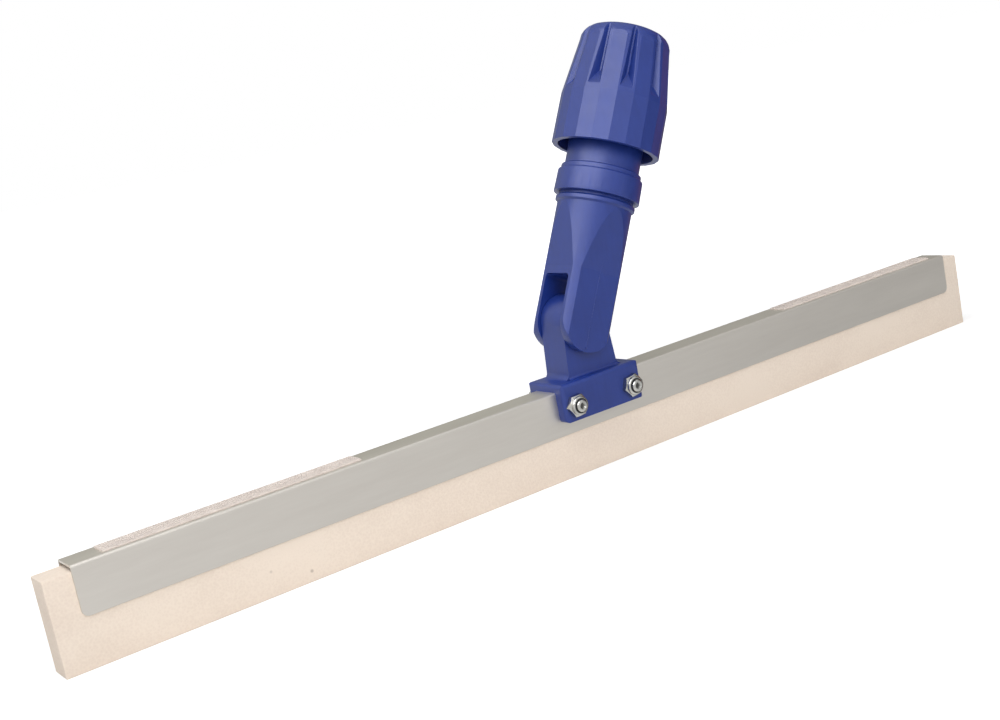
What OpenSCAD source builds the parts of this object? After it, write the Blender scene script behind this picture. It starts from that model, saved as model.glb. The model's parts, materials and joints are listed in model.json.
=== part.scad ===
// Floor squeegee head, 55 cm: a foam blade in a folded channel, a saddle bracket bolted over it,
// and a pole socket that swivels on the bracket's tongue and ends in a fluted clamp nut.
// Origin: middle of the blade's floor edge. X runs along the head, Y to the back, Z up.

/* [Foam blade] */
// length of the foam blade
blade_len = 550; // [400:10:750]
// thickness of the foam blade, which the channel grips
blade_thick = 14; // [10:0.5:16]
// foam that shows below the channel
blade_reach = 21.7; // [15:0.1:30]
// foam that sticks out past each end of the channel
blade_overhang = 12; // [4:1:20]
// free space between the foam and the channel's web
blade_top_gap = 1.7; // [0.8:0.1:2.5]

/* [Channel] */
// height of the folded channel
channel_h = 21.7; // [19:0.1:26]
// sheet thickness of the channel
sheet_t = 1.0; // [0.8:0.1:1.4]
// outer radius of the two long bends
bend_r = 1.3; // [1.2:0.1:2]
// radius of the flanges' lower end corners
flange_corner_r = 3; // [1:0.5:6]

/* [Hook strips] */
// length of each hook strip
strip_len = 119; // [60:0.5:130]
// thickness of a hook strip with its hooks
strip_t = 1.0; // [0.8:0.1:2]
// bare web on each side of a strip
strip_inset = 2.7; // [1.5:0.1:4]
// radius of a strip's long edges
strip_edge_r = 0.4; // [0.2:0.1:0.7]
// distance of the left strip from the channel's end
strip_gap_left = 14.3; // [4:0.1:20]
// distance of the right strip from the channel's end
strip_gap_right = 9.4; // [4:0.1:20]

/* [Bracket] */
// length of the saddle along the channel
saddle_len = 48; // [47:0.5:70]
// thickness of the two plates beside the channel
saddle_plate_t = 5.6; // [4:0.1:7]
// how far the plates reach down past the channel's top
saddle_drop = 14.9; // [14:0.1:17]
// thickness of the slab on the channel's web
saddle_slab_t = 3.8; // [3:0.1:6]
// radius of the saddle's outer edges
saddle_edge_r = 2; // [1:0.1:2.5]
// thickness of the tongue, front to back
tongue_t = 17.6; // [15:0.1:18]
// width of the tongue where it leaves the slab
tongue_base_w = 30; // [27:0.5:34]
// radius of the tongue's round top
tongue_r = 13; // [11:0.5:14]
// height of the pivot above the slab
pivot_rise = 25; // [23:0.1:32]
// fillet beside the tongue, along the channel
tongue_fillet = 3; // [1:0.5:4]
// fillet in front of and behind the tongue
tongue_front_fillet = 1.5; // [0.5:0.1:2]

/* [Bolts and lock nuts] */
// distance between the two bolts
bolt_pitch = 34.6; // [28:0.1:35]
// depth of the bolts below the channel's top
bolt_drop = 7.3; // [7:0.1:8]
// thread diameter of the bolts
bolt_d = 6; // [5:1:6]
// width across flats of the heads and nuts
bolt_af = 10; // [9:0.5:11]
// height of a bolt head
bolt_head_h = 4; // [3:0.1:5]
// thickness of the washer under a bolt head
washer_t = 1.6; // [1:0.1:2]
// diameter of that washer
washer_d = 12; // [11:0.5:13]
// height of a lock nut with its collar
lock_nut_h = 4.4; // [4.2:0.1:6]
// height of a lock nut's hexagon
lock_nut_hex_h = 3; // [2.6:0.1:3.2]
// how far a bolt's end stands in front of the bracket
bolt_reach = 5.8; // [5.4:0.1:9]
// radius of the dimple in a bolt's end
bolt_dimple_r = 1.7; // [1:0.1:1.8]
// turn of the left lock nut's corners
left_nut_clock = 57; // [0:1:60]
// turn of the right lock nut's corners
right_nut_clock = 50; // [0:1:60]

/* [Pivot] */
// lean of the socket from upright, toward the right end
lean = 26.4; // [-80:0.1:80]
// diameter of the pivot pin
pin_d = 8; // [6:0.5:10]
// depth of the pin in the front cheek
pin_blind = 3; // [2:0.1:3.4]
// depth of the pin's end below the rear cheek
pin_recess = 0.5; // [0.2:0.1:1]

/* [Socket body] */
// radius of the socket body
body_r = 18.35; // [17.5:0.05:19]
// thickness of each cheek beside the tongue
cheek_t = 5; // [4.5:0.1:6]
// half width of the cheeks, and their round end
cheek_w = 14.6; // [13.5:0.1:16]
// height of the slot's ceiling above the pivot
slot_top = 20.6; // [17:0.1:24]
// radius of the slot's upper corners
slot_corner_r = 2; // [0.5:0.1:4]
// height at which the four flats begin to slant out
flat_break = 24.5; // [20:0.5:30]
// height at which the flats run out into the round body
flat_top = 55; // [45:0.5:55.5]
// height of the body's rim above the pivot
body_top = 60.9; // [60.5:0.1:70]
// radius of the bead below the rim
bead_r = 19.5; // [18.9:0.05:20.5]
// height of the bead
bead_h = 3.4; // [2:0.1:4]
// depth of the groove between the bead and the collar
groove_h = 1.3; // [0.5:0.1:2]

/* [Neck sleeve] */
// diameter of the pole that the socket takes
pole_d = 25; // [23:0.1:25.5]
// depth of the sleeve's spigot in the body
spigot_len = 25.9; // [12:0.1:28]
// wall of the spigot
spigot_wall = 2.7; // [1.5:0.1:3]
// thickness of the pole stop
pole_stop_t = 3; // [2:0.1:5]
// radius of the collar at its foot
collar_r = 21.1; // [20.5:0.05:22]
// loss of radius toward the collar's top
collar_draft = 0.25; // [0:0.05:0.6]
// height of the collar
collar_h = 11.4; // [8:0.1:14]
// radius of the step above the collar
step_r = 19.7; // [19:0.05:20.4]
// height of the step
step_h = 2.6; // [1:0.1:4]
// radius of the neck
neck_r = 18.25; // [17.5:0.05:18.5]
// depth of the cone in the neck's mouth
cone_depth = 12; // [8:0.1:14]
// shoulder at the foot of that cone
cone_seat = 1.2; // [0.8:0.1:1.6]
// wall left at the neck's mouth
mouth_wall = 1.9; // [1.2:0.1:2.6]

/* [Clamp nut] */
// gap between the step and the nut
nut_gap = 9.6; // [8.2:0.1:12]
// height of the clamp nut
nut_h = 59.8; // [52:0.1:66]
// radius over the nut's corners at its foot
nut_foot_r = 26.5; // [25.5:0.05:28]
// radius over the corners where the nut begins to taper
nut_waist_r = 26.3; // [25.2:0.05:27.5]
// height of that level above the nut's foot
nut_waist_h = 24.2; // [20:0.1:34]
// radius over the corners at the nut's top
nut_top_r = 22.2; // [21.6:0.05:23.4]
// rounding of the nut's shoulder
nut_shoulder = 7.2; // [2:0.1:7.6]
// number of grip ribs
rib_count = 10; // [8:1:12]
// width of a pocket between two ribs, in degrees
pocket_angle = 16; // [10:0.5:17]
// width of the flat bottom of a pocket's V
pocket_floor_w = 0.8; // [0.4:0.1:2]
// distance of a pocket's bottom from the nut's middle, above the ledge
pocket_floor_r = 20.9; // [20.4:0.1:21.4]
// distance of that bottom where the shoulder begins
pocket_top_r = 20; // [19.8:0.1:20.2]
// height of the pockets' ledge above the nut's foot
ledge_h = 26.2; // [22:0.1:30]
// height over which the ledge slants in to the pocket's floor
ledge_rise = 7.8; // [5:0.1:12]
// turn of the first pocket
nut_clock = 27; // [0:1:36]
// radius of the hollow in the nut's foot
hollow_r = 23.5; // [21:0.1:24]
// depth of that hollow
hollow_h = 14; // [8:0.1:18]
// thickness of the nut's inward flange at the top
nut_flange_t = 6.6; // [5:0.1:8]

/* [Clamp ring] */
// distance that the ring still has to go before it jams
ring_travel = 6.2; // [4:0.1:6.5]
// width of the ring's slit
ring_slit = 2.5; // [1.5:0.1:4]
// radius of the ring's pushed flange
ring_flange_r = 17.6; // [16.8:0.05:17.8]
// thickness of that flange
ring_flange_t = 4.55; // [3:0.05:6]

/* [Hidden] */
$fn = 64;

// clearances
fit_gap = 0.05;       // pieces pressed or screwed together
run_gap = 0.06;       // the pin in the tongue
thread_gap = 0.1;     // the nut on the neck
swivel_gap = 0.3;     // the tongue between the cheeks
hole_gap = 0.3;       // bolts in their holes
pole_gap = 0.1;       // the pole in the sleeve
eps = 1;              // length by which cutters run past a face

// head
channel_bottom = blade_reach;
channel_top = blade_reach + channel_h;
channel_w = blade_thick + 2 * sheet_t;
channel_len = blade_len - 2 * blade_overhang;
blade_top = channel_top - sheet_t - blade_top_gap;
strip_w = channel_w - 2 * strip_inset;
strip_left_x = -channel_len / 2 + strip_gap_left + strip_len / 2;
strip_right_x = channel_len / 2 - strip_gap_right - strip_len / 2;
saddle_w = channel_w + 2 * saddle_plate_t;
slab_top = channel_top + saddle_slab_t;
saddle_h = saddle_drop + saddle_slab_t;
pivot_z = slab_top + pivot_rise;

// bolts, measured from the rear plate's face toward the front
bolt_r = bolt_d / 2;
bolt_z = channel_top - bolt_drop;
bolt_len = washer_t + saddle_w + bolt_reach;
bolt_tip_r = 0.8;
bolt_dimple_h = 0.7;
hex_bevel = 0.6;
hex_face_inset = 0.2;
collar_wall = 0.6;
collar_round = 0.4;
nylon_r = bolt_r + 0.95;
nylon_h = 1;
nylon_lip = 0.35;
nylon_shown = 0.65;
nylon_z = lock_nut_h - nylon_lip - nylon_h;

// socket, heights measured along its own axis from the pivot
cheek_y = tongue_t / 2 + swivel_gap + cheek_t;
slot_w = tongue_t + 2 * swivel_gap;
pin_r = pin_d / 2;
pole_r = pole_d / 2 + pole_gap;
spigot_r = pole_r + spigot_wall;
spigot_bottom = body_top - spigot_len;
collar_top = body_top + collar_h;
step_top = collar_top + step_h;
nut_foot = step_top + nut_gap;
nut_top = nut_foot + nut_h;
nut_ceiling = nut_top - nut_flange_t;
facet_count = 2 * rib_count;
facet_turn = 360 / facet_count;
flat_of_corner = cos(facet_turn / 2);
ring_top = nut_ceiling - fit_gap;
ring_shoulder = ring_top - ring_flange_t;
ring_bottom = ring_shoulder - cone_depth;
neck_top = ring_shoulder - ring_travel;
cone_bottom = neck_top - cone_depth;
cone_foot_r = pole_r + cone_seat;
cone_mouth_r = neck_r - mouth_wall;
edge_bevel = 0.5;
corner_margin = 0.05;   // keeps the shoulder's turned face off the nut's corners
shoulder_step = 15;

// Extrudes a (Y, Z) outline along X.
module along_x(len) {
    rotate([90, 0, 90]) linear_extrude(len, center = true) children();
}

// Extrudes an (X, Z) outline along Y.
module along_y(len) {
    rotate([90, 0, 0]) linear_extrude(len, center = true) children();
}

// Rectangle on the line y = 0 with its two upper corners rounded.
module arch(w, h, r) {
    translate([-w / 2, 0]) square([w, h - r]);
    translate([-w / 2 + r, 0]) square([w - 2 * r, h]);
    for (side = [-1, 1]) translate([side * (w / 2 - r), h - r]) circle(r);
}

// Rectangle with four rounded corners, centred on x = 0 and standing on y = 0.
module round_rect(w, h, r) {
    translate([0, h / 2]) {
        arch(w, h / 2, r);
        mirror([0, 1]) arch(w, h / 2, r);
    }
}

// Concave fillet whose corner is at the origin, filling the quadrant x > 0, y > 0.
module fillet(r) {
    difference() {
        translate([-eps, -eps]) square(r + eps);
        translate([r, r]) circle(r);
    }
}

// Places a part on the bolt axis of one side, its +Z pointing to the front.
module at_bolt(side, y) {
    translate([side * bolt_pitch / 2, y, bolt_z]) rotate([90, 0, 0]) children();
}

// Both bolt holes, cut right through.
module bolt_holes(r) {
    for (side = [-1, 1]) at_bolt(side, 0) cylinder(h = 2 * saddle_w, r = r, center = true);
}

// Places a part in the leaning socket's own frame: pivot at the origin, +Z along the pole.
module on_socket() {
    translate([0, 0, pivot_z]) rotate([0, lean, 0]) children();
}

function hex_points(af, turn) =
    [for (k = [0:5]) af / sqrt(3) * [cos(turn + 60 * k), sin(turn + 60 * k)]];

// Hexagon whose corners are bevelled at its far end, by a cone that starts inside its flats.
module bevelled_hex(af, h, turn) {
    corner = af / sqrt(3);
    cone_top = af / 2 - hex_face_inset;
    slope = hex_bevel / (corner - cone_top);
    intersection() {
        linear_extrude(h) polygon(hex_points(af, turn));
        rotate_extrude() polygon([
            [0, -eps], [corner + eps, -eps], [corner + eps, h - slope * (corner + eps - cone_top)],
            [cone_top, h], [0, h]
        ]);
    }
}

module foam_blade() {
    color([0.90, 0.84, 0.76]) difference() {
        translate([-blade_len / 2, -blade_thick / 2, 0]) cube([blade_len, blade_thick, blade_top]);
        bolt_holes(bolt_r + hole_gap);
    }
}

module channel() {
    color([0.76, 0.75, 0.72]) difference() {
        intersection() {
            translate([0, 0, channel_bottom]) along_x(channel_len) difference() {
                arch(channel_w, channel_h, bend_r);
                translate([0, -eps]) arch(blade_thick, channel_h - sheet_t + eps, bend_r - sheet_t);
            }
            translate([0, 0, channel_top]) mirror([0, 0, 1])
                along_y(2 * channel_w) arch(channel_len, channel_h, flange_corner_r);
        }
        bolt_holes(bolt_r + hole_gap);
    }
}

module hook_strip(x) {
    translate([x, 0, channel_top]) along_x(strip_len) arch(strip_w, strip_t, strip_edge_r);
}

module hook_strip_left() {
    color([0.90, 0.86, 0.82]) hook_strip(strip_left_x);
}

module hook_strip_right() {
    color([0.90, 0.86, 0.82]) hook_strip(strip_right_x);
}

// Outline of the tongue: two sides that run from its base onto the round top, and base fillets.
module tongue_outline() {
    base_x = tongue_base_w / 2;
    reach = norm([base_x, pivot_rise]);
    side_len = sqrt(reach * reach - tongue_r * tongue_r);
    side_turn = 180 - atan2(pivot_rise, base_x) - asin(tongue_r / reach);
    top_x = base_x + side_len * cos(side_turn);
    top_z = side_len * sin(side_turn);
    fillet_x = base_x + tongue_fillet * (1 + cos(side_turn)) / sin(side_turn);
    touch_x = fillet_x - tongue_fillet * sin(side_turn);
    touch_z = tongue_fillet + tongue_fillet * cos(side_turn);
    difference() {
        union() {
            polygon([
                [-base_x, -eps], [base_x, -eps], [base_x, 0],
                [top_x, top_z], [-top_x, top_z], [-base_x, 0]
            ]);
            translate([0, pivot_rise]) circle(tongue_r);
            for (side = [-1, 1]) polygon([
                [0, -eps], [side * fillet_x, -eps], [side * fillet_x, 0],
                [side * touch_x, touch_z], [0, touch_z]
            ]);
        }
        for (side = [-1, 1]) translate([side * fillet_x, tongue_fillet]) circle(tongue_fillet);
    }
}

module bracket() {
    color([0.25, 0.31, 0.63]) difference() {
        union() {
            intersection() {
                translate([0, 0, slab_top - saddle_h]) along_x(2 * saddle_len) difference() {
                    arch(saddle_w, saddle_h, saddle_edge_r);
                    translate([0, -eps]) arch(channel_w, saddle_drop + eps, bend_r);
                }
                translate([0, 0, slab_top - saddle_h]) along_y(2 * saddle_w)
                    round_rect(saddle_len, saddle_h, saddle_edge_r);
                translate([0, -saddle_w / 2, 0]) linear_extrude(2 * slab_top)
                    round_rect(saddle_len, saddle_w, saddle_edge_r);
            }
            translate([0, 0, slab_top]) along_y(tongue_t) tongue_outline();
            intersection() {
                translate([0, 0, slab_top]) along_x(tongue_base_w) for (side = [0, 1])
                    mirror([side, 0]) translate([tongue_t / 2, 0]) fillet(tongue_front_fillet);
                translate([0, 0, slab_top]) along_y(saddle_w) tongue_outline();
            }
        }
        bolt_holes(bolt_r + hole_gap);
        translate([0, 0, pivot_z]) rotate([90, 0, 0])
            cylinder(h = 2 * tongue_t, r = pin_r + run_gap, center = true);
    }
}

module bolt(side) {
    at_bolt(side, saddle_w / 2 + washer_t) {
        mirror([0, 0, 1]) bevelled_hex(bolt_af, bolt_head_h, 0);
        rotate_extrude() difference() {
            union() {
                translate([0, -edge_bevel]) square([bolt_r, bolt_len - bolt_tip_r + edge_bevel]);
                square([bolt_r - bolt_tip_r, bolt_len]);
                translate([bolt_r - bolt_tip_r, bolt_len - bolt_tip_r]) circle(bolt_tip_r);
            }
            polygon([
                [0, bolt_len - bolt_dimple_h], [bolt_dimple_r / 2, bolt_len - bolt_dimple_h],
                [bolt_dimple_r, bolt_len], [bolt_dimple_r, bolt_len + eps], [0, bolt_len + eps]
            ]);
        }
    }
}

module bolt_left() {
    color([0.80, 0.80, 0.81]) bolt(-1);
}

module bolt_right() {
    color([0.80, 0.80, 0.81]) bolt(1);
}

module bolt_washer(side) {
    at_bolt(side, saddle_w / 2 + washer_t) difference() {
        cylinder(h = washer_t, r = washer_d / 2);
        translate([0, 0, -eps]) cylinder(h = washer_t + 2 * eps, r = bolt_r + fit_gap);
    }
}

module bolt_washer_left() {
    color([0.82, 0.82, 0.83]) bolt_washer(-1);
}

module bolt_washer_right() {
    color([0.82, 0.82, 0.83]) bolt_washer(1);
}

// Lock nut: a hexagon with a rolled collar that holds a nylon ring.
module lock_nut(side, turn) {
    housing_r = nylon_r + fit_gap;
    collar_r1 = housing_r + collar_wall;
    at_bolt(side, -saddle_w / 2) difference() {
        union() {
            bevelled_hex(bolt_af, lock_nut_hex_h, -turn);
            rotate_extrude() polygon([
                [0, lock_nut_hex_h - edge_bevel], [collar_r1, lock_nut_hex_h - edge_bevel],
                [collar_r1, lock_nut_h - 2 * collar_round],
                [collar_r1 - collar_round / 3, lock_nut_h - collar_round],
                [collar_r1 - collar_round, lock_nut_h - collar_round / 3],
                [collar_r1 - 2 * collar_round, lock_nut_h], [0, lock_nut_h]
            ]);
        }
        translate([0, 0, -eps]) cylinder(h = lock_nut_h, r = bolt_r + fit_gap);
        translate([0, 0, nylon_z]) cylinder(h = nylon_h, r = housing_r);
        translate([0, 0, nylon_z]) cylinder(h = lock_nut_h, r = bolt_r + nylon_shown);
    }
}

module lock_nut_left() {
    color([0.84, 0.84, 0.85]) lock_nut(-1, left_nut_clock);
}

module lock_nut_right() {
    color([0.84, 0.84, 0.85]) lock_nut(1, right_nut_clock);
}

module nylon_ring(side) {
    at_bolt(side, -saddle_w / 2) translate([0, 0, nylon_z]) difference() {
        cylinder(h = nylon_h, r = nylon_r);
        translate([0, 0, -eps]) cylinder(h = nylon_h + 2 * eps, r = bolt_r + fit_gap);
    }
}

module nylon_ring_left() {
    color([0.20, 0.22, 0.30]) nylon_ring(-1);
}

module nylon_ring_right() {
    color([0.20, 0.22, 0.30]) nylon_ring(1);
}

// Outline with straight flanks that slant out to the body's full radius.
module slanted_flanks(half) {
    polygon([
        [-half, -cheek_w - eps], [half, -cheek_w - eps], [half, flat_break],
        [body_r + eps, flat_top + eps * (flat_top - flat_break) / (body_r - half)],
        [body_r + eps, body_top + 2 * eps], [-body_r - eps, body_top + 2 * eps],
        [-body_r - eps, flat_top + eps * (flat_top - flat_break) / (body_r - half)],
        [-half, flat_break]
    ]);
}

module socket_body() {
    bead_top = body_top - groove_h;
    bead_edge = bead_h / 4;
    color([0.25, 0.31, 0.63]) on_socket() difference() {
        union() {
            intersection() {
                translate([0, 0, -cheek_w]) cylinder(h = cheek_w + body_top, r = body_r);
                along_x(3 * body_r) slanted_flanks(cheek_y);
                along_y(3 * body_r) slanted_flanks(cheek_w);
                along_y(3 * body_r) union() {
                    circle(cheek_w);
                    translate([-2 * body_r, 0]) square([4 * body_r, body_top + eps]);
                }
            }
            rotate_extrude() polygon([
                [0, bead_top - bead_h], [body_r, bead_top - bead_h],
                [bead_r, bead_top - bead_h + bead_edge], [bead_r, bead_top - bead_edge],
                [body_r, bead_top], [0, bead_top]
            ]);
        }
        along_x(3 * body_r) translate([0, -2 * cheek_w])
            arch(slot_w, slot_top + 2 * cheek_w, slot_corner_r);
        translate([0, 0, spigot_bottom]) cylinder(h = spigot_len + eps, r = spigot_r + fit_gap);
        translate([0, cheek_y + eps, 0]) rotate([90, 0, 0])
            cylinder(h = cheek_y + eps + slot_w / 2 + pin_blind + fit_gap, r = pin_r + fit_gap);
    }
}

module pivot_pin() {
    pin_len = cheek_y - pin_recess + slot_w / 2 + pin_blind;
    color([0.80, 0.80, 0.81]) on_socket() translate([0, cheek_y - pin_recess, 0]) rotate([90, 0, 0])
        rotate_extrude() polygon([
            [0, 0], [pin_r - edge_bevel, 0], [pin_r, edge_bevel],
            [pin_r, pin_len - edge_bevel], [pin_r - edge_bevel, pin_len], [0, pin_len]
        ]);
}

module neck_sleeve() {
    color([0.25, 0.31, 0.63]) on_socket() rotate_extrude($fn = 96) polygon([
        [0, spigot_bottom], [spigot_r, spigot_bottom], [spigot_r, body_top], [collar_r, body_top],
        [collar_r - collar_draft, collar_top - edge_bevel],
        [collar_r - collar_draft - edge_bevel, collar_top],
        [step_r, collar_top], [step_r, step_top - edge_bevel], [step_r - edge_bevel, step_top],
        [neck_r, step_top], [neck_r, neck_top - edge_bevel], [neck_r - edge_bevel, neck_top],
        [cone_mouth_r, neck_top], [cone_foot_r, cone_bottom], [pole_r, cone_bottom],
        [pole_r, spigot_bottom + pole_stop_t], [0, spigot_bottom + pole_stop_t]
    ]);
}

// Slit wedge ring that the nut drives into the neck's cone to grip the pole.
module clamp_ring() {
    color([0.22, 0.27, 0.56]) on_socket() difference() {
        rotate_extrude() polygon([
            [pole_r, ring_bottom], [cone_foot_r, ring_bottom], [cone_mouth_r, ring_shoulder],
            [ring_flange_r, ring_shoulder], [ring_flange_r, ring_top], [pole_r, ring_top]
        ]);
        translate([0, -ring_slit / 2, ring_bottom - eps])
            cube([2 * neck_r, ring_slit, ring_top - ring_bottom + 2 * eps]);
    }
}

// Outside of the nut: faceted, straight at the foot and tapered above the waist, with a turned shoulder.
module nut_outside() {
    foot = nut_foot_r * flat_of_corner;
    waist = nut_waist_r * flat_of_corner;
    top = nut_top_r * flat_of_corner;
    shoulder_r = nut_top_r + corner_margin;
    shoulder_z = nut_top - nut_shoulder;
    intersection() {
        intersection_for (k = [0:rib_count - 1]) rotate([0, 0, nut_clock + k * facet_turn])
            along_y(4 * nut_foot_r) polygon([
                [-foot, nut_foot], [foot, nut_foot], [waist, nut_foot + nut_waist_h], [top, shoulder_z],
                [top, nut_top + eps], [-top, nut_top + eps], [-top, shoulder_z], [-waist, nut_foot + nut_waist_h]
            ]);
        rotate_extrude($fn = 120) polygon(concat(
            [[0, nut_foot - eps], [nut_foot_r + 1, nut_foot - eps], [nut_foot_r + 1, shoulder_z]],
            [for (a = [0:shoulder_step:90])
                [shoulder_r - nut_shoulder * (1 - cos(a)), shoulder_z + nut_shoulder * sin(a)]],
            [[0, nut_top]]));
    }
}

// Cutter of one pocket: a slanted ledge, then a V that leans in with the taper and runs out in the shoulder.
module nut_pocket() {
    edge_r = nut_waist_r * flat_of_corner;
    ledge = nut_foot + ledge_h;
    slope = ledge_rise / (edge_r - pocket_floor_r);
    reach = 2 * nut_foot_r;
    tilt = atan((pocket_floor_r - pocket_top_r) / (nut_h - nut_shoulder - ledge_h - ledge_rise));
    half_mouth = edge_r * tan(pocket_angle / 2);
    half_floor = pocket_floor_w / 2;
    widening = (half_mouth - half_floor) / (edge_r - pocket_floor_r);
    intersection() {
        translate([pocket_floor_r, 0, ledge + ledge_rise]) rotate([0, -tilt, 0]) translate([0, 0, -reach])
            linear_extrude(2 * reach) polygon([
                [0, half_floor], [0, -half_floor],
                [reach, -half_floor - reach * widening], [reach, half_floor + reach * widening]
            ]);
        along_y(2 * nut_foot_r) polygon([
            [pocket_top_r - eps, ledge + ledge_rise + slope * (pocket_floor_r - pocket_top_r + eps)],
            [pocket_top_r - eps, nut_top + eps], [reach, nut_top + eps], [reach, ledge - slope * (reach - edge_r)]
        ]);
    }
}

module clamp_nut() {
    thread_r = neck_r + thread_gap;
    hole_r = pole_r + 0.8;
    color([0.25, 0.31, 0.63]) on_socket() difference() {
        nut_outside();
        for (k = [0:rib_count - 1]) rotate([0, 0, nut_clock + 2 * k * facet_turn]) nut_pocket();
        rotate_extrude($fn = 96) polygon([
            [0, nut_foot - eps], [hollow_r, nut_foot - eps], [hollow_r, nut_foot + hollow_h],
            [thread_r, nut_foot + hollow_h + (hollow_r - thread_r) / 2], [thread_r, nut_ceiling],
            [hole_r, nut_ceiling], [hole_r, nut_top - edge_bevel],
            [hole_r + edge_bevel + eps, nut_top + eps], [0, nut_top + eps]
        ]);
    }
}

foam_blade();
channel();
hook_strip_left();
hook_strip_right();
bracket();
bolt_left();
bolt_right();
bolt_washer_left();
bolt_washer_right();
lock_nut_left();
lock_nut_right();
nylon_ring_left();
nylon_ring_right();
socket_body();
pivot_pin();
neck_sleeve();
clamp_ring();
clamp_nut();
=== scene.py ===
"""Floor squeegee head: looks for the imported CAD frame. Metres, CAD frame, +Z up."""
import json
import math
import bpy
import bmesh
from mathutils import Matrix, Vector
from mathutils.bvhtree import BVHTree


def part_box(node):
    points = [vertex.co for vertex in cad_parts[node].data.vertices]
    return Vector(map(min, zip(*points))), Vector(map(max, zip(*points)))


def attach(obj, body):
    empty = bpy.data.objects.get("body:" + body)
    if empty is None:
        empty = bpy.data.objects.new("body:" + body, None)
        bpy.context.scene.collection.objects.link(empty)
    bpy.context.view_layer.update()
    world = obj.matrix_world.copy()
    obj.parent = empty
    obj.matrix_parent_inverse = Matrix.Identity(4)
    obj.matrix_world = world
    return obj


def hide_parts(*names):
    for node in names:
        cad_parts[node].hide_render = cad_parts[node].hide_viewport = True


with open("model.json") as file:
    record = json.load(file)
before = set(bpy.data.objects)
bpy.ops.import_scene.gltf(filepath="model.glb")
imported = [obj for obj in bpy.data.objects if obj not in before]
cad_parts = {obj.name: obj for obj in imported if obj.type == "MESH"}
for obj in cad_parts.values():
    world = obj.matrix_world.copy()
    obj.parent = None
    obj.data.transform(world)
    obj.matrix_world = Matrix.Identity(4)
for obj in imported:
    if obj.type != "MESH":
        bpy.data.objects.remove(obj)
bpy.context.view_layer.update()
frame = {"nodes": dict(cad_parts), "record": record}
NODES = frame["nodes"]
SLOT_OF = {s["node"]: s["material_slot"] for s in frame["record"]["subparts"]}
MM = 0.001
LEAN = math.radians(26.4)           # the socket's lean from upright, toward +X
SWIVEL = Vector((0, 0, 0.0722))     # a point on the swivel's axis


# ---------------------------------------------------------------- node trees
def srgb(r, g, b):
    """8-bit sRGB to a linear RGBA tuple."""
    def lin(c):
        c /= 255.0
        return c / 12.92 if c <= 0.04045 else ((c + 0.055) / 1.055) ** 2.4
    return (lin(r), lin(g), lin(b), 1.0)


class Graph:
    """A small builder for a node tree. A value is a number, a tuple or another node's output."""

    def __init__(self, tree):
        self.tree = tree
        self.coord = self.node("TexCoord")

    def node(self, kind, **props):
        n = self.tree.nodes.new("ShaderNode" + kind)
        for key, value in props.items():
            setattr(n, key, value)
        return n

    def link(self, output, socket):
        self.tree.links.new(output, socket)

    def feed(self, socket, value):
        if isinstance(value, (int, float, tuple)):
            socket.default_value = value
        else:
            self.link(value, socket)

    def math(self, operation, a, b):
        n = self.node("Math", operation=operation)
        self.feed(n.inputs[0], a)
        self.feed(n.inputs[1], b)
        return n.outputs[0]

    def weighted(self, a, share, b):
        """The mean of two values, with the first one's share given."""
        return self.math("ADD", self.math("MULTIPLY", a, share), self.math("MULTIPLY", b, 1.0 - share))

    def mix(self, factor, a, b, blend="MIX"):
        n = self.node("Mix", data_type="RGBA", blend_type=blend)
        for socket, value in ((n.inputs[0], factor), (n.inputs[6], a), (n.inputs[7], b)):
            self.feed(socket, value)
        return n.outputs[2]

    def ramp(self, factor, stops):
        """A colour ramp from (position, colour or grey level) pairs."""
        n = self.node("ValToRGB")
        elements = n.color_ramp.elements
        while len(elements) < len(stops):
            elements.new(0.5)
        for element, (position, colour) in zip(elements, stops):
            element.position = position
            element.color = (*(colour[:3] if isinstance(colour, tuple) else (colour,) * 3), 1)
        self.link(factor, n.inputs["Fac"])
        return n.outputs["Color"]

    def smooth(self, value, start, end, at_start=0.0, at_end=1.0):
        """A smooth step between two values of the input."""
        n = self.node("MapRange", interpolation_type="SMOOTHSTEP")
        for key, number in (("From Min", start), ("From Max", end),
                            ("To Min", at_start), ("To Max", at_end)):
            n.inputs[key].default_value = number
        self.link(value, n.inputs["Value"])
        return n.outputs["Result"]


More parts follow.
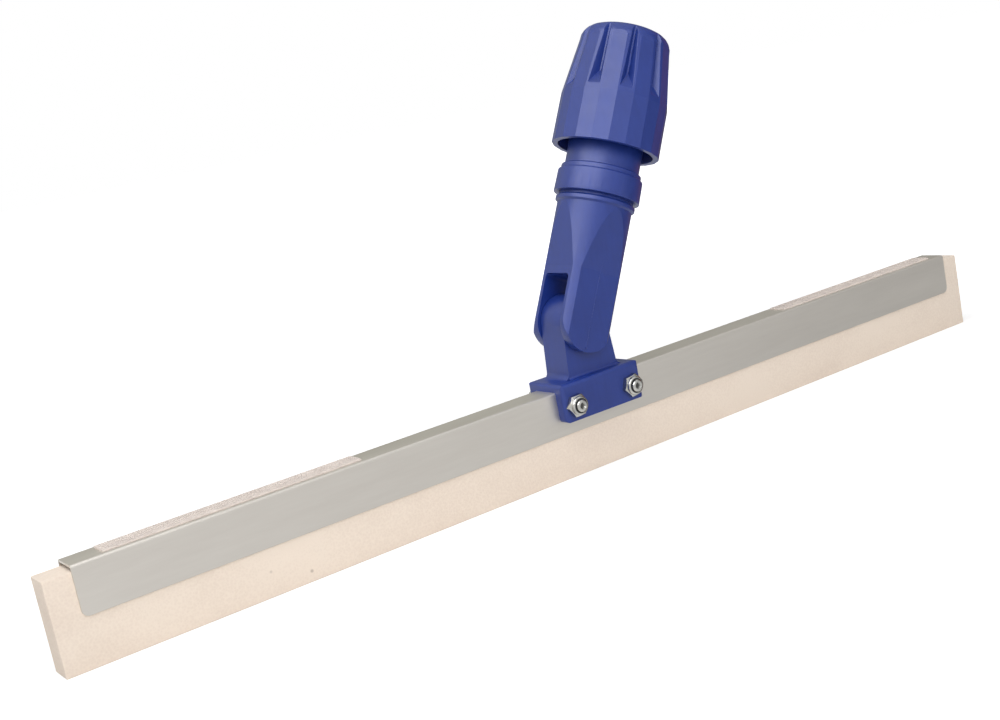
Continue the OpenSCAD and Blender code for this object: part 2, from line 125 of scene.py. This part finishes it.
class Mat(Graph):
    """A material around one Principled shader. Keywords set the shader's own sockets."""

    def __init__(self, name, **sockets):
        self.mat = bpy.data.materials.new(name)
        self.mat.use_nodes = True
        super().__init__(self.mat.node_tree)
        self.bsdf = self.tree.nodes["Principled BSDF"]
        for key, value in sockets.items():
            self.bsdf.inputs[key.replace("_", " ")].default_value = value

    def mapped(self, stretch=(1, 1, 1), turn=(0, 0, 0)):
        m = self.node("Mapping")
        m.inputs["Rotation"].default_value = turn
        m.inputs["Scale"].default_value = stretch
        self.link(self.coord.outputs["Object"], m.inputs["Vector"])
        return m.outputs["Vector"]

    def noise(self, scale, detail=3.0, rough=0.5, stretch=(1, 1, 1), turn=(0, 0, 0)):
        n = self.node("TexNoise")
        n.inputs["Scale"].default_value = scale
        n.inputs["Detail"].default_value = detail
        n.inputs["Roughness"].default_value = rough
        self.link(self.mapped(stretch, turn), n.inputs["Vector"])
        return n.outputs["Fac"]

    def voronoi(self, scale):
        n = self.node("TexVoronoi")
        n.inputs["Scale"].default_value = scale
        self.link(self.mapped(), n.inputs["Vector"])
        return n.outputs["Distance"]

    def spot(self, centre, radius, depth):
        """A soft round mark at a place on the object: depth at its middle, 0 outside."""
        away = self.node("VectorMath", operation="DISTANCE")
        self.link(self.coord.outputs["Object"], away.inputs[0])
        away.inputs[1].default_value = centre
        return self.smooth(away.outputs["Value"], radius, radius * 0.3, 0.0, depth)

    def colour(self, output):
        self.link(output, self.bsdf.inputs["Base Color"])

    def rough(self, output):
        self.link(output, self.bsdf.inputs["Roughness"])

    def bump(self, height, distance, strength):
        n = self.node("Bump")
        n.inputs["Distance"].default_value = distance
        n.inputs["Strength"].default_value = strength
        self.link(height, n.inputs["Height"])
        self.link(n.outputs["Normal"], self.bsdf.inputs["Normal"])


# ---------------------------------------------------------------- materials
def plastic_material():
    """Blue plastic with clouds of tone, draw marks along the socket, and a fine grain."""
    m = Mat("blue_moulded_plastic", IOR=1.54)
    cloud = m.noise(38.0, detail=3.0, rough=0.55)
    draw = m.noise(520.0, detail=2.0, rough=0.6, stretch=(1.0, 1.0, 0.06), turn=(0.0, -LEAN, 0.0))
    tone = m.weighted(cloud, 0.7, draw)
    m.colour(m.ramp(tone, [(0.32, srgb(22, 46, 121)), (0.68, srgb(29, 54, 134))]))
    m.rough(m.ramp(m.noise(150.0, detail=3.0, rough=0.6), [(0.3, 0.34), (0.7, 0.42)]))
    grain = m.noise(2600.0, detail=2.0, rough=0.6)
    flow = m.noise(45.0, detail=2.0, rough=0.5)
    m.bump(m.math("ADD", m.math("MULTIPLY", flow, 2.0), grain), distance=0.02 * MM, strength=0.55)
    return m.mat


def sheet_material():
    """Satin zinc-plated sheet, brushed along the channel."""
    m = Mat("zinc_plated_sheet", Metallic=1.0)
    cloud = m.noise(9.0, detail=3.0, rough=0.5, stretch=(0.5, 1, 1.2))
    fine = m.noise(420.0, detail=3.0, rough=0.6, stretch=(0.10, 1, 1))
    tone = m.weighted(cloud, 0.75, fine)
    m.colour(m.ramp(tone, [(0.35, srgb(207, 202, 195)), (0.65, srgb(217, 213, 206))]))
    streaks = m.noise(60.0, detail=4.0, rough=0.7, stretch=(0.12, 1, 1))
    m.rough(m.ramp(streaks, [(0.3, 0.42), (0.7, 0.52)]))
    brush = m.noise(900.0, detail=3.0, rough=0.6, stretch=(0.06, 1, 1))
    m.bump(brush, distance=0.01 * MM, strength=0.25)
    return m.mat


FOAM_FRONT = -7 * MM
# x, z, radius and depth of the two small stains on the blade's front
FOAM_STAINS = ((-0.1649, 0.0049, 0.0011, 0.50), (-0.1831, 0.0112, 0.0009, 0.30))


def foam_material():
    """Cream foam rubber with fine cells and two small stains."""
    m = Mat("cellular_foam_rubber", Roughness=0.85)
    cloud = m.noise(26.0, detail=4.0, rough=0.6, stretch=(0.6, 1, 1))
    tone = m.weighted(cloud, 0.72, m.voronoi(900.0))
    base = m.ramp(tone, [(0.25, srgb(230, 213, 197)), (0.60, srgb(241, 226, 210))])
    for x, z, radius, depth in FOAM_STAINS:
        base = m.mix(m.spot((x, FOAM_FRONT, z), radius, depth), base, srgb(150, 133, 120))
    m.colour(base)
    pores = m.math("ADD", m.voronoi(1500.0), m.noise(700.0, detail=4.0, rough=0.7))
    m.bump(pores, distance=0.1 * MM, strength=0.42)
    return m.mat


def tape_material():
    """Off-white woven hook tape."""
    m = Mat("hook_tape", Roughness=0.8)
    tone = m.noise(160.0, detail=3.0, rough=0.6)
    m.colour(m.ramp(tone, [(0.3, srgb(216, 205, 197)), (0.7, srgb(229, 219, 211))]))
    m.bump(m.noise(2200.0), distance=0.04 * MM, strength=0.6)
    return m.mat


def zinc_material(name="bright_zinc_plate", painted_shade_spots=()):
    """Bright zinc plate, with a spot of painted shade at each given centre and radius."""
    m = Mat(name, Metallic=1.0)
    tone = m.noise(300.0, detail=3.0, rough=0.6)
    base = m.ramp(tone, [(0.3, srgb(163, 164, 161)), (0.7, srgb(196, 195, 191))])
    for centre, radius in painted_shade_spots:
        # painted shade: a dark spot where the recess in each bolt's free end lies in shade
        base = m.mix(m.spot(centre, radius, 0.9), base, srgb(46, 47, 42))
    m.colour(base)
    m.rough(m.ramp(m.noise(700.0, detail=3.0, rough=0.6), [(0.3, 0.10), (0.7, 0.17)]))
    m.bump(m.noise(1800.0, detail=2.0), distance=0.02 * MM, strength=0.35)
    return m.mat


def nylon_material():
    """Dark nylon of the nuts' locking rings."""
    m = Mat("dark_nylon", Roughness=0.5)
    m.colour(m.ramp(m.noise(500.0), [(0.3, srgb(36, 37, 44)), (0.7, srgb(50, 51, 58))]))
    m.bump(m.noise(3000.0), distance=0.02 * MM, strength=0.4)
    return m.mat


def bolt_end(name):
    """The middle of a bolt's free end, at the front."""
    low, high = (Vector(c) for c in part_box(name))
    return ((low.x + high.x) / 2, low.y + 0.4 * MM, (low.z + high.z) / 2)


BOLTS = ("bolt_left", "bolt_right")
# radius of the painted shade in the recess at each bolt's free end
BOLT_END_SHADE_RADIUS = 1.9 * MM
MATERIALS = {
    "blue_plastic": plastic_material(), "sheet": sheet_material(), "foam": foam_material(),
    "hook_tape": tape_material(), "zinc_steel": zinc_material(), "nylon": nylon_material(),
}
BOLT_ZINC = zinc_material("bolt_zinc_plate", [(bolt_end(name), BOLT_END_SHADE_RADIUS) for name in BOLTS])


# ---------------------------------------------------------------- CAD nodes that stay
EDGE_WIDTH = {
    "bracket": 0.8 * MM, "socket_body": 0.55 * MM, "neck_sleeve": 0.3 * MM, "clamp_nut": 0.4 * MM,
    "clamp_ring": 0.2 * MM, "lock_nut_left": 0.12 * MM, "lock_nut_right": 0.12 * MM,
}
FLAT_ANGLE = math.radians(0.6)      # faces that differ by less become one flat before the bevel
SHARP_ANGLE = math.radians(24)      # only edges that turn by more are rounded


def dress(name):
    """Gives a CAD node its material and, where it has a width, soft edges."""
    obj = NODES[name]
    for slot in obj.material_slots:
        slot.material = BOLT_ZINC if name in BOLTS else MATERIALS[SLOT_OF[name]]
    if name in EDGE_WIDTH:
        weld = obj.modifiers.new("weld", "WELD")
        weld.merge_threshold = 1e-6
        flat = obj.modifiers.new("flat", "DECIMATE")
        flat.decimate_type = "DISSOLVE"
        flat.angle_limit = FLAT_ANGLE
        bevel = obj.modifiers.new("bevel", "BEVEL")
        bevel.width = EDGE_WIDTH[name]
        bevel.segments = 3
        bevel.limit_method = "ANGLE"
        bevel.angle_limit = SHARP_ANGLE


for node_name in NODES:
    dress(node_name)


# ---------------------------------------------------------------- meshes of the scene's own pieces
def rounded_block(low, high, radius, segments):
    """A box between two corners, with rounded edges."""
    bm = bmesh.new()
    bmesh.ops.create_cube(bm, size=1.0)
    for v in bm.verts:
        v.co = Vector((low[i] + (v.co[i] + 0.5) * (high[i] - low[i]) for i in range(3)))
    bmesh.ops.bevel(bm, geom=bm.edges[:], offset=radius, segments=segments, affect="EDGES",
                    profile=0.5)
    return bm


def new_object(name, bm, material, smooth=False):
    """Turns a bmesh into an object in the scene."""
    mesh = bpy.data.meshes.new(name)
    bm.to_mesh(mesh)
    bm.free()
    if smooth:
        for poly in mesh.polygons:
            poly.use_smooth = True
    mesh.materials.append(material)
    obj = bpy.data.objects.new(name, mesh)
    bpy.context.scene.collection.objects.link(obj)
    return obj


# ---------------------------------------------------------------- foam blade
def foam_piece():
    """The blade as one block with soft edges."""
    low, high = (Vector(c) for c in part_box("foam_blade"))
    bm = rounded_block(low, high, 0.5 * MM, 3)
    obj = new_object("foam_blade_piece", bm, MATERIALS["foam"], smooth=True)
    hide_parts("foam_blade")
    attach(obj, "head")


foam_piece()


# ---------------------------------------------------------------- hook tape
TAPE_SHARE = 0.78                                   # of the strip's height; hooks fill the rest
HOOK_PITCH_X, HOOK_PITCH_Y = 1.10 * MM, 0.92 * MM
HOOK_STAGGER = 0.25                                 # of the pitch, one way and the other by rows
HOOK_MARGIN = 0.6 * MM
HOOK_SUNK = 0.05 * MM
HOOK_BENDS = ((0.05, 0.72), (0.22, 0.93), (0.42, 0.74))     # mm sideways, share of the height
HOOK_RADII = [0.15 * MM, 0.13 * MM, 0.12 * MM, 0.08 * MM]


def tube_of(bm, path, radii, sides=4):
    """A small closed tube along a list of points, with one radius for each."""
    rings = []
    for i, (point, radius) in enumerate(zip(path, radii)):
        ahead = path[min(i + 1, len(path) - 1)] - path[max(i - 1, 0)]
        across = ahead.cross(Vector((0, 1, 0))).normalized()
        up = across.cross(ahead).normalized()
        rings.append([bm.verts.new(point + radius * (math.cos(t) * across + math.sin(t) * up))
                      for t in (2 * math.pi * (k + 0.5) / sides for k in range(sides))])
    for lower, upper in zip(rings, rings[1:]):
        for k in range(sides):
            after = (k + 1) % sides
            bm.faces.new((lower[k], lower[after], upper[after], upper[k]))
    bm.faces.new(rings[-1])
    bm.faces.new(rings[0][::-1])


def hook_strip_piece(node_name):
    """A woven tape with staggered rows of small bent hooks."""
    low, high = (Vector(c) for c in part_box(node_name))
    tape_top = low.z + TAPE_SHARE * (high.z - low.z)
    height = high.z - tape_top
    bm = rounded_block(low, Vector((high.x, high.y, tape_top)), 0.12 * MM, 2)
    columns = int((high.x - low.x - 2 * HOOK_MARGIN) / HOOK_PITCH_X)
    rows = int((high.y - low.y - 2 * HOOK_MARGIN) / HOOK_PITCH_Y)
    start_x = (low.x + high.x - columns * HOOK_PITCH_X) / 2
    start_y = (low.y + high.y - rows * HOOK_PITCH_Y) / 2
    for i in range(columns + 1):
        for j in range(rows + 1):
            side = 1.0 if j % 2 else -1.0
            foot = Vector((start_x + (i + side * HOOK_STAGGER) * HOOK_PITCH_X,
                           start_y + j * HOOK_PITCH_Y, tape_top - HOOK_SUNK))
            path = [foot] + [foot + Vector((out * side * MM, 0, share * height))
                             for out, share in HOOK_BENDS]
            tube_of(bm, path, HOOK_RADII)
    obj = new_object(node_name + "_piece", bm, MATERIALS["hook_tape"])
    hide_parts(node_name)
    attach(obj, "head")


hook_strip_piece("hook_strip_left")
hook_strip_piece("hook_strip_right")


# ---------------------------------------------------------------- mould lines on the socket's cheeks
LINE_START, LINE_END, LINE_STEP = -12.8 * MM, 33 * MM, 1.2 * MM     # from the swivel, up the socket
LINE_WIDE, LINE_TALL, LINE_SUNK = 0.22 * MM, 0.10 * MM, 0.03 * MM
NUB_WIDE, NUB_TALL, NUB_LONG = 0.35 * MM, 0.30 * MM, 1.3 * MM       # what the lower end adds
LINE_PROFILE = ((-1.0, 0.0), (-0.45, 1.1), (0.45, 1.1), (1.0, 0.0))     # shares of wide and tall


def mould_line(name, front):
    """A thin raised line down the middle of a cheek, which the mould's parting leaves."""
    axis = Vector((math.sin(LEAN), 0, math.cos(LEAN)))
    across = Vector((math.cos(LEAN), 0, -math.sin(LEAN)))
    toward = Vector((0, 1 if front else -1, 0))
    tree = BVHTree.FromObject(NODES["socket_body"], bpy.context.evaluated_depsgraph_get())
    bm = bmesh.new()
    runs = [[]]
    for i in range(int((LINE_END - LINE_START) / LINE_STEP) + 1):
        s = LINE_START + i * LINE_STEP
        hit, normal, _, _ = tree.ray_cast(SWIVEL + axis * s - toward * 0.1, toward)
        # the pin's bore is open at the rear: there the line stops, and starts again past it
        if hit is not None and hit.dot(toward) < 0:
            fade = min(1.0, 0.7 + (s - LINE_START) / (1 * MM), (LINE_END + 0.5 * MM - s) / (12 * MM))
            nub = max(0.0, 1.0 - (s - LINE_START) / NUB_LONG)
            wide, tall = LINE_WIDE + NUB_WIDE * nub, (LINE_TALL + NUB_TALL * nub) * fade
            runs[-1].append([bm.verts.new(hit + across * (k * wide) + normal * (h * tall - LINE_SUNK))
                             for k, h in LINE_PROFILE])
        elif runs[-1]:
            runs.append([])
    for rings in runs:
        for lower, upper in zip(rings, rings[1:]):
            for k in range(3):
                bm.faces.new((lower[k], lower[k + 1], upper[k + 1], upper[k]))
            bm.faces.new((lower[3], lower[0], upper[0], upper[3]))
        bm.faces.new(rings[0])
        bm.faces.new(rings[-1])
    bmesh.ops.recalc_face_normals(bm, faces=bm.faces[:])
    obj = new_object(name, bm, MATERIALS["blue_plastic"], smooth=True)
    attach(obj, "socket")


mould_line("mould_line_front", True)
mould_line("mould_line_rear", False)


# ---------------------------------------------------------------- camera
SENSOR = 36.0
FOCAL_SHARE = 1.4352511             # the focal length as a share of the picture's width
CAMERA_PLACE = Vector((-0.4020673, -0.5545146, 0.1966430))
CAMERA_RIGHT = Vector((0.8046281, -0.5623549, -0.1906058))
CAMERA_FORWARD = Vector((0.5303018, 0.8249887, -0.1953810))


def camera(scene):
    """The camera that was fitted to the photo's straight edges."""
    data = bpy.data.cameras.new("camera")
    data.sensor_width = SENSOR
    data.lens = SENSOR * FOCAL_SHARE
    data.clip_start = 0.01
    obj = bpy.data.objects.new("camera", data)
    up = CAMERA_RIGHT.cross(CAMERA_FORWARD)
    place = Matrix((CAMERA_RIGHT, up, -CAMERA_FORWARD)).transposed().to_4x4()
    place.translation = CAMERA_PLACE
    obj.matrix_world = place
    scene.collection.objects.link(obj)
    scene.camera = obj
    scene.view_settings.view_transform = "Standard"


# ---------------------------------------------------------------- room
# what mirror images show across the room, from left to right: white, then darker
LEFT_TO_MIDDLE = [(0.40, 1.0), (0.55, 0.92), (0.68, 0.61)]
RIGHT_AT_FRONT = [(0.745, (0.39, 0.39, 0.385)), (0.85, (0.22, 0.22, 0.215)),
                  (0.95, (0.17, 0.17, 0.165))]
RIGHT_AT_BACK = [(0.745, (0.40, 0.385, 0.37)), (0.85, (0.30, 0.21, 0.17)),
                 (0.95, (0.36, 0.12, 0.08))]
BACK_WALL_TOWARD = (0.50, 0.83, 0.24)
BACK_WALL_TONE = (0.46, 0.46, 0.40, 1)
SOFT_LIGHT, SOFT_LEVEL = (0.97, 0.98, 1.0, 1), 0.40


def room(scene):
    """A white room. The camera sees plain white, surfaces get a lower even light, and mirror images
    show a right side that gets darker, and warmer toward the back, and a darker back wall."""
    world = bpy.data.worlds.new("world")
    scene.world = world
    world.use_nodes = True
    world.node_tree.nodes.clear()
    g = Graph(world.node_tree)
    toward = g.coord.outputs["Generated"]
    split = g.node("SeparateXYZ")
    g.link(toward, split.inputs[0])
    right = g.mix(g.smooth(split.outputs["Y"], -0.30, 0.15),
                  g.ramp(split.outputs["X"], LEFT_TO_MIDDLE + RIGHT_AT_FRONT),
                  g.ramp(split.outputs["X"], LEFT_TO_MIDDLE + RIGHT_AT_BACK))
    behind = g.node("VectorMath", operation="DOT_PRODUCT")
    g.link(toward, behind.inputs[0])
    behind.inputs[1].default_value = BACK_WALL_TOWARD
    back = g.smooth(behind.outputs["Value"], 0.64, 0.92)

    def background(colour, strength=1.0):
        n = g.node("Background")
        g.feed(n.inputs["Color"], colour)
        n.inputs["Strength"].default_value = strength
        return n.outputs[0]

    def choose(factor, a, b):
        n = g.node("MixShader")
        for socket, output in zip(n.inputs, (factor, a, b)):
            g.link(output, socket)
        return n.outputs[0]

    rays = g.node("LightPath")
    mirrored = g.math("MAXIMUM", rays.outputs["Is Glossy Ray"], rays.outputs["Is Transmission Ray"])
    unseen = choose(mirrored, background(SOFT_LIGHT, SOFT_LEVEL),
                    background(g.mix(back, right, BACK_WALL_TONE, blend="MULTIPLY")))
    white = background((1, 1, 1, 1))
    g.link(choose(rays.outputs["Is Camera Ray"], unseen, white), g.node("OutputWorld").inputs[0])


# ---------------------------------------------------------------- floor
FLOOR_HALF = 6.0
FLOOR_NEAR, FLOOR_FAR = 0.30, 0.75      # where the plain white begins and is complete


def floor_plane(scene):
    """A pale floor that keeps the shadow near the head, and is plain white further out."""
    mesh = bpy.data.meshes.new("floor")
    corners = [(x * FLOOR_HALF, y * FLOOR_HALF, 0) for x, y in ((-1, -1), (1, -1), (1, 1), (-1, 1))]
    mesh.from_pydata(corners, [], [(0, 1, 2, 3)])
    floor = bpy.data.objects.new("floor", mesh)
    floor.visible_glossy = False
    scene.collection.objects.link(floor)
    m = Mat("pale_floor", Roughness=0.9, Specular_IOR_Level=0.0, Emission_Color=(1, 1, 1, 1))
    m.colour(m.ramp(m.noise(2.0), [(0.3, 0.84), (0.7, 0.86)]))
    away = m.node("VectorMath", operation="LENGTH")
    m.link(m.coord.outputs["Object"], away.inputs[0])
    far = m.smooth(away.outputs["Value"], FLOOR_NEAR, FLOOR_FAR, 0.40, 1.0)
    rays = m.node("LightPath")
    m.link(m.math("MULTIPLY", rays.outputs["Is Camera Ray"], far), m.bsdf.inputs["Emission Strength"])
    mesh.materials.append(m.mat)


# ---------------------------------------------------------------- lights
# name, azimuth from the front (-Y) toward the left (-X), elevation, distance, size, radiance,
# and whether it is seen in mirror images and lights surfaces
LIGHTS = (
    ("sheen_left", 70, 48, 1.5, (2.1, 1.4), 3.2, True, False),
    ("soft_left", 75, 25, 1.5, (0.6, 0.6), 0.55, False, True),
    ("soft_front", 14, 30, 1.5, (1.0, 0.8), 3.5, False, True),
    ("soft_top", 60, 72, 1.3, (1.0, 0.8), 2.5, False, True),
    ("near_left", 88, 50, 0.85, (0.4, 0.4), 1.1, False, True),
)
LIGHT_TARGET = Vector((0.0, 0.0, 0.08))


def area(scene, name, azimuth, elevation, distance, size, radiance, gloss, diffuse):
    """A soft box aimed at the head."""
    az, el = math.radians(azimuth), math.radians(elevation)
    toward = Vector((-math.sin(az) * math.cos(el), -math.cos(az) * math.cos(el), math.sin(el)))
    data = bpy.data.lights.new(name, "AREA")
    data.shape = "RECTANGLE"
    data.size, data.size_y = size
    data.energy = radiance * size[0] * size[1] * math.pi
    obj = bpy.data.objects.new(name, data)
    obj.location = LIGHT_TARGET + toward * distance
    obj.rotation_euler = (-toward).to_track_quat("-Z", "Y").to_euler()
    obj.visible_glossy = gloss
    obj.visible_diffuse = diffuse
    scene.collection.objects.link(obj)


def stage():
    scene = bpy.context.scene
    camera(scene)
    room(scene)
    floor_plane(scene)
    for light in LIGHTS:
        area(scene, *light)


stage()
